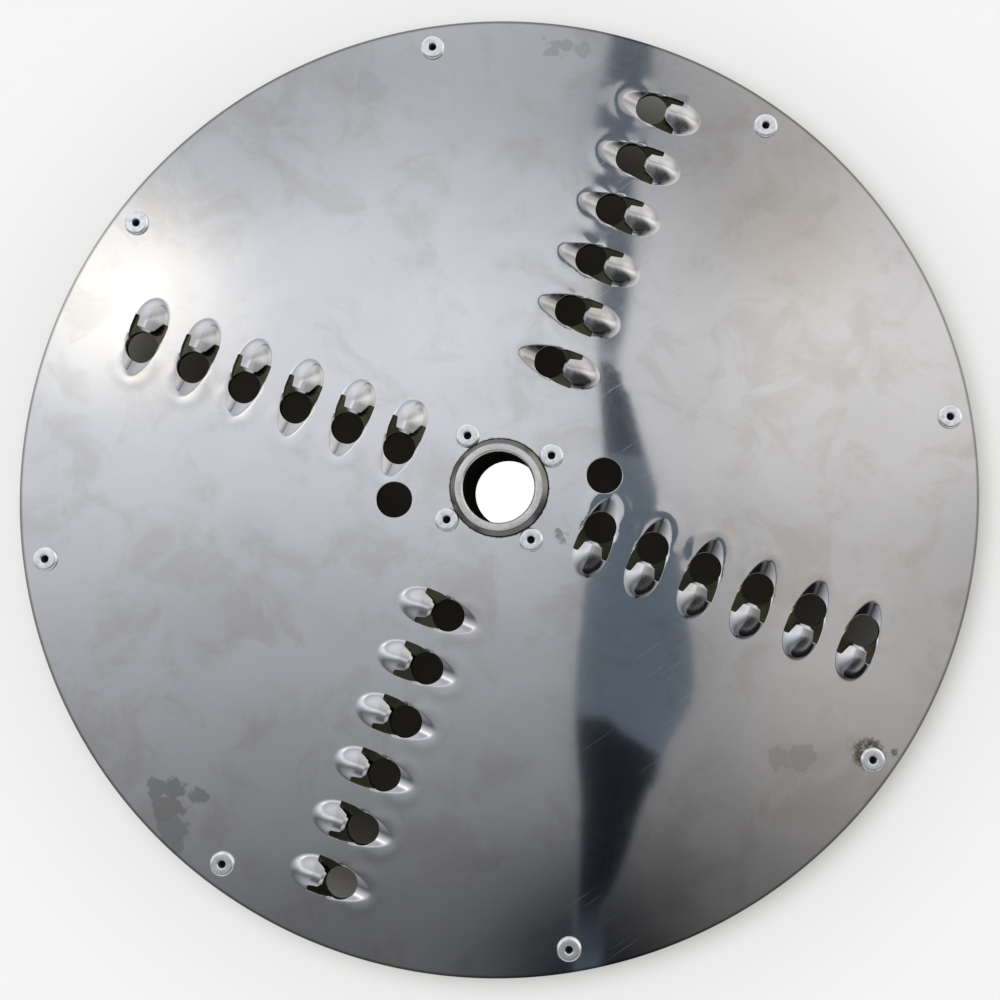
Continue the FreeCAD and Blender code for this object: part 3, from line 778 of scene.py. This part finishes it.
def build_sheet(scene):
    tooth, sheet = scene.disc_tooth, scene.disc_sheet
    places = tooth_places()
    holes = round_holes(scene.disc_hub, scene.disc_rivets)
    outline = opening_outline(tooth)
    loops, points = sheet_points(tooth, sheet, places, holes, outline)
    points, triangles = sheet_triangles(points, loops, places, holes, outline)

    def height_beside(x, y):
        return sheet_height(points + (x, y), tooth, sheet, places)

    small = 0.02 * MM
    slope = np.column_stack([height_beside(small, 0) - height_beside(-small, 0),
                             height_beside(0, small) - height_beside(0, -small)]) / (2 * small)
    height = BACKING_HIGH[2] + sheet.thickness + height_beside(0, 0)
    ones = np.ones(len(points))
    normal = unit(np.column_stack([-slope, ones]))
    drop, lean = rounded_edges(points, holes, sheet.edge_rounding)
    cut_lean = cut_edge_lean(points, places, outline)
    drop += 0.4 * sheet.cut_rounding * distances(cut_lean)
    lean += 0.7 * cut_lean
    top = np.column_stack([points, height - drop])

    # under a scoop the lower face lies square to the sheet, and elsewhere straight below it
    share = np.zeros(len(top))
    for place in places:
        local, near = on_tooth(points, place, 10 * MM, -24 * MM, 0.0)
        share[near] = np.maximum(share[near], scoop_share(local[near, 1], tooth))
    share = share[:, None]
    downward = unit(share * normal + (1 - share) * (0.0, 0.0, 1.0))
    bottom = np.column_stack([points, height]) - downward * sheet.thickness
    for place in places:
        lip = on_tooth(points, place, tooth.nose_half_width, -tooth.lip - 0.05 * MM, 0.05 * MM - tooth.lip)[1]
        bottom[lip, :2] += np.array((-math.sin(place[2]), math.cos(place[2]))) * tooth.lip_bevel

    # the steepest flanks are shaded as if they were gentler, so that they don't mirror the sheet beside them
    gentler = 1 / np.sqrt(1 + (distances(slope) / STEEPEST_SHADED) ** 2)
    top_normal = unit(np.column_stack([-slope * gentler[:, None], ones]))
    top_normal *= np.sqrt(1 - (lean ** 2).sum(axis=1))[:, None]
    top_normal[:, :2] += lean

    number = len(top)
    directed = np.concatenate([triangles[:, [0, 1]], triangles[:, [1, 2]], triangles[:, [2, 0]]])
    keys = {tuple(edge) for edge in directed.tolist()}
    border = sorted((a, b) for a, b in keys if (b, a) not in keys)
    faces = triangles.tolist()
    faces += [(a + number, c + number, b + number) for a, b, c in triangles.tolist()]
    faces += [(b, a, a + number, b + number) for a, b in border]
    vertices = np.concatenate([top, bottom])
    material = worn_sheet(sheet, scene.disc_hub.barrel_radius)
    piece = new_piece("pressed_sheet", vertices.tolist(), faces, material, "cutting_plate")
    set_sheet_normals(piece.data, vertices, faces, len(triangles), np.concatenate([unit(top_normal), -normal]))


def set_sheet_normals(mesh, vertices, faces, triangle_count, face_normals):
    """Shade the faces by the pressed form's own slopes, and the cut edges smoothly along each cut."""
    if len(mesh.polygons) != len(faces):
        raise RuntimeError("the sheet has faces that are not valid")
    walls = np.array(faces[2 * triangle_count:])
    corners = vertices[walls]
    wall_normals = unit(np.cross(corners[:, 1] - corners[:, 0], corners[:, 3] - corners[:, 0]))
    shared = np.zeros_like(vertices)
    for corner in range(4):
        np.add.at(shared, walls[:, corner], wall_normals)
    blended = unit(shared)[walls]
    agree = (blended * wall_normals[:, None, :]).sum(axis=2) > math.cos(math.radians(30))
    wall_loops = np.where(agree[:, :, None], blended, wall_normals[:, None, :]).reshape(-1, 3)
    flat_faces = np.array(faces[:2 * triangle_count])
    loops = np.concatenate([face_normals[flat_faces.reshape(-1)], wall_loops])
    mesh.normals_split_custom_set(loops.tolist())


# Operators

class DISC_OT_pressed_sheet(Operator):
    """Build the pressed sheet with its rows of scoop teeth"""
    bl_idname = "disc.pressed_sheet"
    bl_label = "Pressed Sheet"

    def execute(self, context):
        build_sheet(context.scene)
        return {"FINISHED"}


class DISC_OT_backing_plate(Operator):
    """Give the backing plate its dull olive finish, darkened further by painted shade"""
    bl_idname = "disc.backing_plate"
    bl_label = "Backing Plate"

    def execute(self, context):
        plate = frame["nodes"]["backing_plate"]
        plate.data.materials.clear()
        # dull olive steel, made much darker as painted shade for where it lies in the sheet's shadow
        plate.data.materials.append(clouded_metal("dull_backing_steel_painted_shade", 90.0, (0.35, 0.7), (0.065, 0.065, 0.041),
                                                  (0.028, 0.028, 0.018), (0.16, 0.08), 0.01 * MM, grain=1400.0))
        return {"FINISHED"}


class DISC_OT_hub(Operator):
    """Build the turned hub with its collar and flange"""
    bl_idname = "disc.hub"
    bl_label = "Hub"

    def execute(self, context):
        sizes = context.scene.disc_hub
        barrel, flange = sizes.barrel_radius, HUB_HIGH[0]
        top, foot = HUB_HIGH[2], HUB_LOW[2]
        small = sizes.corner_rounding
        corners = [
            (BORE_RADIUS, foot), (barrel, foot), (barrel, sizes.flange_bottom), (flange, sizes.flange_bottom),
            (flange, BACKING_LOW[2]), (barrel, BACKING_LOW[2]), (barrel, top - sizes.collar_chamfer),
            (barrel - sizes.collar_chamfer, top), (BORE_RADIUS + sizes.bore_chamfer, top),
            (BORE_RADIUS, top - sizes.bore_chamfer),
        ]
        radii = [2 * small, 2 * small, 4 * small, 2 * small, small, 0, small, small, small, small]
        turned_piece("turned_hub", rounded_loop(corners, radii), sizes.segments, [(0, 0, 0)], turned_steel(sizes),
                     "hub")
        return {"FINISHED"}


def rivet_profile(sizes, grip):
    """Closed profile of a set blind rivet, with the head's seat at height 0."""
    hole, shank, head, bulb = sizes.hole_radius, sizes.shank_radius, sizes.head_radius, sizes.bulb_radius
    height = sizes.head_height
    bulb_end = -grip - sizes.bulb_height
    corners = [
        (hole, bulb_end - sizes.tail_length), (shank, bulb_end - sizes.tail_length), (shank, bulb_end),
        (bulb, bulb_end), (bulb, -grip), (shank, -grip), (shank, 0), (head, 0),
        (head, 0.45 * height), (head - 0.55 * MM, height), (hole + 0.25 * MM, height), (hole, height - 0.3 * MM),
    ]
    small = 0.2 * MM
    radii = [small, small, small, 5 * small, 3 * small, 0, 0, small, 2 * small, 2 * small, small, small]
    return rounded_loop(corners, radii)


def stem_profile(sizes, grip):
    """Closed profile of a broken mandrel: a stem in the rivet's hole and a head on its tail."""
    axis = 0.01 * MM
    stem = sizes.hole_radius - 0.05 * MM
    tail = -grip - sizes.bulb_height - sizes.tail_length
    end = tail - sizes.stem_head_height
    corners = [(axis, end), (sizes.stem_head_radius, end), (sizes.stem_head_radius, tail), (stem, tail),
               (stem, -sizes.stem_depth), (axis, -sizes.stem_depth + 0.3 * MM)]
    radii = [0, 0.8 * MM, 0.2 * MM, 0, 0.2 * MM, 0]
    return rounded_loop(corners, radii)


class DISC_OT_rivets(Operator):
    """Build the blind rivets of the rim and the hub, and the mandrel ends inside them"""
    bl_idname = "disc.rivets"
    bl_label = "Rivets"

    def execute(self, context):
        sizes = context.scene.disc_rivets
        seat = BACKING_HIGH[2] + context.scene.disc_sheet.thickness
        plates = seat - BACKING_LOW[2]
        flange = BACKING_LOW[2] - context.scene.disc_hub.flange_bottom
        metal = clouded_metal("satin_rivet_metal", 600.0, (0.45, 0.75), sizes.metal, darker(sizes.metal, 0.7),
                              (0.3, 0.22), 0.02 * MM)
        dark = stem_metal()
        for name, grip in (("rim", plates), ("hub", plates + flange)):
            places = rivet_places(sizes, name, seat)
            turned_piece(f"{name}_blind_rivets", rivet_profile(sizes, grip), sizes.segments, places, metal,
                         f"{name}_rivets")
            turned_piece(f"{name}_mandrel_ends", stem_profile(sizes, grip), sizes.segments, places, dark,
                         f"{name}_rivet_stems")
        return {"FINISHED"}


# The stage

PICTURE_RIGHT = Vector((0.93087, 0.36535, -0.00081))
PICTURE_DOWN = Vector((0.36456, -0.92898, -0.06400))


def add_camera(sizes):
    camera = new_object("camera", bpy.data.cameras.new("camera"))
    camera.data.sensor_width = 36.0
    camera.data.lens = sizes.camera_lens
    camera.data.shift_x = sizes.camera_shift
    right = PICTURE_RIGHT.normalized()
    up = -(PICTURE_DOWN - PICTURE_DOWN.dot(right) * right).normalized()
    back = right.cross(up)
    turn = Matrix((right, up, back)).transposed().to_4x4()
    camera.matrix_world = Matrix.Translation(sizes.camera_place) @ turn
    bpy.context.scene.camera = camera


def add_floor(sizes):
    """A pale floor. It is white in the open and under the bore, and the shadow beneath the disc is deepened."""
    half = sizes.floor_size / 2
    mesh = bpy.data.meshes.new("floor")
    mesh.from_pydata([(-half, -half, 0), (half, -half, 0), (half, half, 0), (-half, half, 0)], [], [(0, 1, 2, 3)])
    floor = new_object("floor", mesh)

    recipe = Recipe("pale_floor")
    step, times, larger = recipe.step, recipe.times, recipe.larger
    radius = recipe.radius()
    pale = tuple(sizes.floor_colour)
    shaded = (0.13 * pale[0], 0.12 * pale[1], 0.095 * pale[2])
    recipe.finish(recipe.mix(step(radius, 0.112, 0.24), shaded, pale), 0.9, metallic=0.0)
    rays = recipe.add("ShaderNodeLightPath").outputs
    mirrored = larger(rays["Is Glossy Ray"], rays["Is Transmission Ray"])
    in_bore = times(step(radius, BORE_RADIUS + 1.0 * MM, BORE_RADIUS + 0.5 * MM), rays["Is Camera Ray"])
    outside = times(step(radius, DISC_RADIUS * 0.99, DISC_RADIUS * 1.12), 0.75)
    white = larger(in_bore, times(larger(rays["Is Camera Ray"], mirrored), outside))
    recipe.show("OUTPUT_MATERIAL", white, recipe.shader, recipe.add("ShaderNodeEmission"))
    mesh.materials.append(recipe.material)


def add_lamp():
    """A wide soft box over the left of the disc."""
    lamp = new_object("soft_box", bpy.data.lights.new("soft_box", "AREA"))
    lamp.data.shape = "DISK"
    lamp.data.size = 0.9
    lamp.data.energy = 2.0
    lamp.location = (-0.75, 0.35, 1.6)
    lamp.rotation_euler = (Vector((0, 0, 0.03)) - lamp.location).to_track_quat("-Z", "Y").to_euler()
    lamp.visible_glossy = False


# What the steel mirrors. A direction is given by how far it leans to the right of the picture and how far up it.
UP_LEVELS = (
    (-1.0, 0.75), (-0.82, 0.62), (-0.62, 0.36), (-0.46, 0.22), (-0.36, 0.165), (-0.27, 0.28), (-0.165, 0.47),
    (-0.08, 0.63), (0.0, 0.83), (0.08, 0.99), (0.17, 1.04), (0.25, 0.82), (0.34, 0.64), (0.60, 0.95), (1.0, 1.05),
)
RIGHT_LEVELS = (
    (-1.0, 1.15), (-0.5, 1.1), (-0.3, 1.03), (-0.1, 0.99), (0.05, 0.85), (0.12, 0.96), (0.22, 0.96), (0.4, 0.9),
    (0.7, 1.4), (1.0, 1.6),
)

# A round spot of what is mirrored that is brighter, or dimmer, than what lies round it
Glow = namedtuple("Glow", "right up radius gain")
GLOWS = (
    Glow(-0.385, 0.155, 0.12, (0.76, 0.69, 0.53)),
    Glow(0.20, -0.17, 0.17, (0.15, 0.14, 0.12)),
    Glow(0.09, 0.23, 0.13, (-0.14, -0.145, -0.155)),
    Glow(-0.15, 0.30, 0.12, (0.06, 0.06, 0.06)),
    Glow(-0.03, -0.37, 0.15, (-0.14, -0.14, -0.14)),
    Glow(0.00, 0.30, 0.07, (-0.16, -0.14, -0.11)),
)
# An even stretch of what is mirrored: its left and right edges as (up, right) points, its lowest and highest lean
# up the picture, how soft its left, right, low and high edges are, and its shade
Card = namedtuple("Card", "left right low high soft shade")
CARDS = (
    # low down, nearly black
    Card(((-0.80, -0.60), (-0.56, -0.36), (-0.47, -0.10)), ((0, 1.3),), -1.3, -0.46, (0.05, 0.05, 0.05, 0.05),
         (0.006, 0.007, 0.009)),
    # low on the right, nearly black
    Card(((0, 0.28),), ((0, 1.3),), -1.3, -0.33, (0.07, 0.05, 0.05, 0.04), (0.010, 0.011, 0.013)),
    # over the upper half, faint
    Card(((0.12, -0.025), (0.29, -0.027), (0.36, -0.015)),
         ((0.12, -0.006), (0.16, -0.002), (0.22, 0.002), (0.27, 0.005), (0.32, 0.015), (0.36, 0.020)),
         0.12, 0.60, (0.006, 0.006, 0.02, 0.06), (0.13, 0.16, 0.195)),
    # over the lower half, even and slate
    Card(((-0.08, -0.0435), (-0.04, -0.035), (0.03, -0.0275)),
         ((-0.328, -0.022), (-0.308, -0.0075), (-0.279, 0.0025), (-0.256, 0.008), (-0.222, 0.020), (-0.196, 0.028),
          (-0.167, 0.047), (-0.146, 0.052), (-0.117, 0.052), (-0.025, 0.044), (0.0, 0.021), (0.033, 0.0125)),
         -0.42, 0.035, (0.001, 0.003, 0.04, 0.008), (0.14, 0.18, 0.22)),
    # across the middle, navy
    Card(((0.10, -0.0275),), ((0.029, 0.0125), (0.055, 0.0067), (0.084, 0.0), (0.1125, -0.008)),
         0.033, 0.118, (0.001, 0.003, 0.006, 0.008), (0.025, 0.040, 0.065)),
    # the foot of it, nearly black
    Card(((-0.17, -0.0425), (-0.33, -0.0415)),
         ((-0.328, -0.022), (-0.308, -0.0085), (-0.279, 0.0015), (-0.256, 0.007), (-0.222, 0.019),
          (-0.2017, 0.022), (-0.1875, -0.0067), (-0.178, -0.0175)),
         -0.355, -0.178, (0.001, 0.003, 0.045, 0.004), (0.003, 0.005, 0.010)),
)


def levels(nodes, value, stops, interpolation="LINEAR"):
    """A number that follows a lean between -1 and 1."""
    ramp = nodes.add("ShaderNodeValToRGB", {0: nodes.math("MULTIPLY_ADD", value, 0.5, 0.5)})
    ramp.color_ramp.interpolation = interpolation
    elements = ramp.color_ramp.elements
    while len(elements) < len(stops):
        elements.new(1.0)
    for element, (place, level) in zip(elements, stops):
        element.position = (place + 1) / 2
        element.color = (level / 2, level / 2, level / 2, 1)
    return nodes.times(ramp.outputs["Color"], 2.0)


def edge(nodes, value, stops):
    """An edge's lean to the right at each lean up the picture."""
    if len(stops) == 1:
        return stops[0][1]
    shifted = [(place, right + 1) for place, right in sorted(stops)]
    return nodes.math("SUBTRACT", levels(nodes, value, shifted), 1.0)


def within(nodes, value, low, high, soft_low, soft_high):
    """1 between two values and 0 outside them."""
    past_low, past_high = nodes.math("SUBTRACT", value, low), nodes.math("SUBTRACT", value, high)
    return nodes.times(nodes.step(past_low, -soft_low, soft_low), nodes.step(past_high, soft_high, -soft_high))


def add_world():
    """Soft light from all sides. What the steel mirrors has a bright side, a dim side and cards overhead."""
    world = bpy.data.worlds.new("studio")
    bpy.context.scene.world = world
    world.use_nodes = True
    nodes = Nodes(world.node_tree)
    step, times = nodes.step, nodes.times
    direction = nodes.add("ShaderNodeTexCoord").outputs["Generated"]

    def lean(*axis):
        return nodes.vector("DOT_PRODUCT", direction, axis)["Value"]

    # the picture's own axes, as a flat mirror under the camera turns them
    rightward = lean(PICTURE_RIGHT.x, PICTURE_RIGHT.y, -PICTURE_RIGHT.z)
    upward = lean(-PICTURE_DOWN.x, -PICTURE_DOWN.y, PICTURE_DOWN.z)
    height = lean(0, 0, 1)
    brightness = times(levels(nodes, upward, UP_LEVELS, "CARDINAL"),
                       levels(nodes, rightward, RIGHT_LEVELS, "CARDINAL"))
    cool, warm = (0.975, 0.995, 1.04), (1.02, 1.0, 0.975)
    tint = nodes.mix(step(rightward, -0.1, 0.15), cool, warm)
    view = nodes.add("ShaderNodeVectorMath", {0: tint, "Scale": brightness}, operation="SCALE").outputs[0]
    for glow in GLOWS:
        gap = nodes.across(nodes.math("SUBTRACT", upward, glow.up), nodes.math("SUBTRACT", rightward, glow.right))
        view = nodes.vector("MULTIPLY_ADD", step(gap, glow.radius, 0.0), glow.gain, view)[0]
    over_horizon = step(height, 0.49, 0.56)
    for card in CARDS:
        across = within(nodes, rightward, edge(nodes, upward, card.left), edge(nodes, upward, card.right),
                        *card.soft[:2])
        along = within(nodes, upward, card.low, card.high, *card.soft[2:])
        view = nodes.mix(times(times(across, along), over_horizon), view, card.shade)

    # plain light for everything but mirrored rays: full from overhead, less from the horizon, white to the camera
    rays = nodes.add("ShaderNodeLightPath").outputs
    plain = nodes.first("BACKGROUND")
    sky = step(height, 0.0, 0.55, 0.25, 1.05)
    nodes.feed(plain.inputs["Color"], nodes.mix(rays["Is Camera Ray"], sky, (0.96, 0.96, 0.96)))
    nodes.show("OUTPUT_WORLD", rays["Is Glossy Ray"], plain, nodes.add("ShaderNodeBackground", {"Color": view}))


class DISC_OT_stage(Operator):
    """Set the camera, the floor and the soft light"""
    bl_idname = "disc.stage"
    bl_label = "Stage"

    def execute(self, context):
        sizes = context.scene.disc_stage
        add_camera(sizes)
        add_floor(sizes)
        add_world()
        add_lamp()
        context.scene.view_settings.view_transform = "Standard"
        return {"FINISHED"}


class DISC_PT_panel(Panel):
    """Lists the pieces of the disc in the sidebar"""
    bl_label = "Shredding Disc"
    bl_idname = "DISC_PT_panel"
    bl_space_type = "VIEW_3D"
    bl_region_type = "UI"
    bl_category = "Shredding Disc"

    def draw(self, context):
        for operator in OPERATORS:
            self.layout.operator(operator.bl_idname)
        for name in GROUPS:
            box = self.layout.box()
            group = getattr(context.scene, name)
            for key in group.__annotations__:
                box.prop(group, key)


GROUPS = {
    "disc_tooth": DISC_PG_tooth,
    "disc_sheet": DISC_PG_sheet,
    "disc_hub": DISC_PG_hub,
    "disc_rivets": DISC_PG_rivets,
    "disc_stage": DISC_PG_stage,
}
OPERATORS = (DISC_OT_pressed_sheet, DISC_OT_backing_plate, DISC_OT_hub, DISC_OT_rivets, DISC_OT_stage)
CLASSES = (*GROUPS.values(), *OPERATORS, DISC_PT_panel)


def register():
    for item in CLASSES:
        bpy.utils.register_class(item)
    for name, group in GROUPS.items():
        setattr(bpy.types.Scene, name, PointerProperty(type=group))


def unregister():
    for name in GROUPS:
        delattr(bpy.types.Scene, name)
    for item in reversed(CLASSES):
        bpy.utils.unregister_class(item)


def main():
    register()
    bpy.ops.disc.pressed_sheet()
    bpy.ops.disc.backing_plate()
    bpy.ops.disc.hub()
    bpy.ops.disc.rivets()
    bpy.ops.disc.stage()


if __name__ == "__main__":
    main()
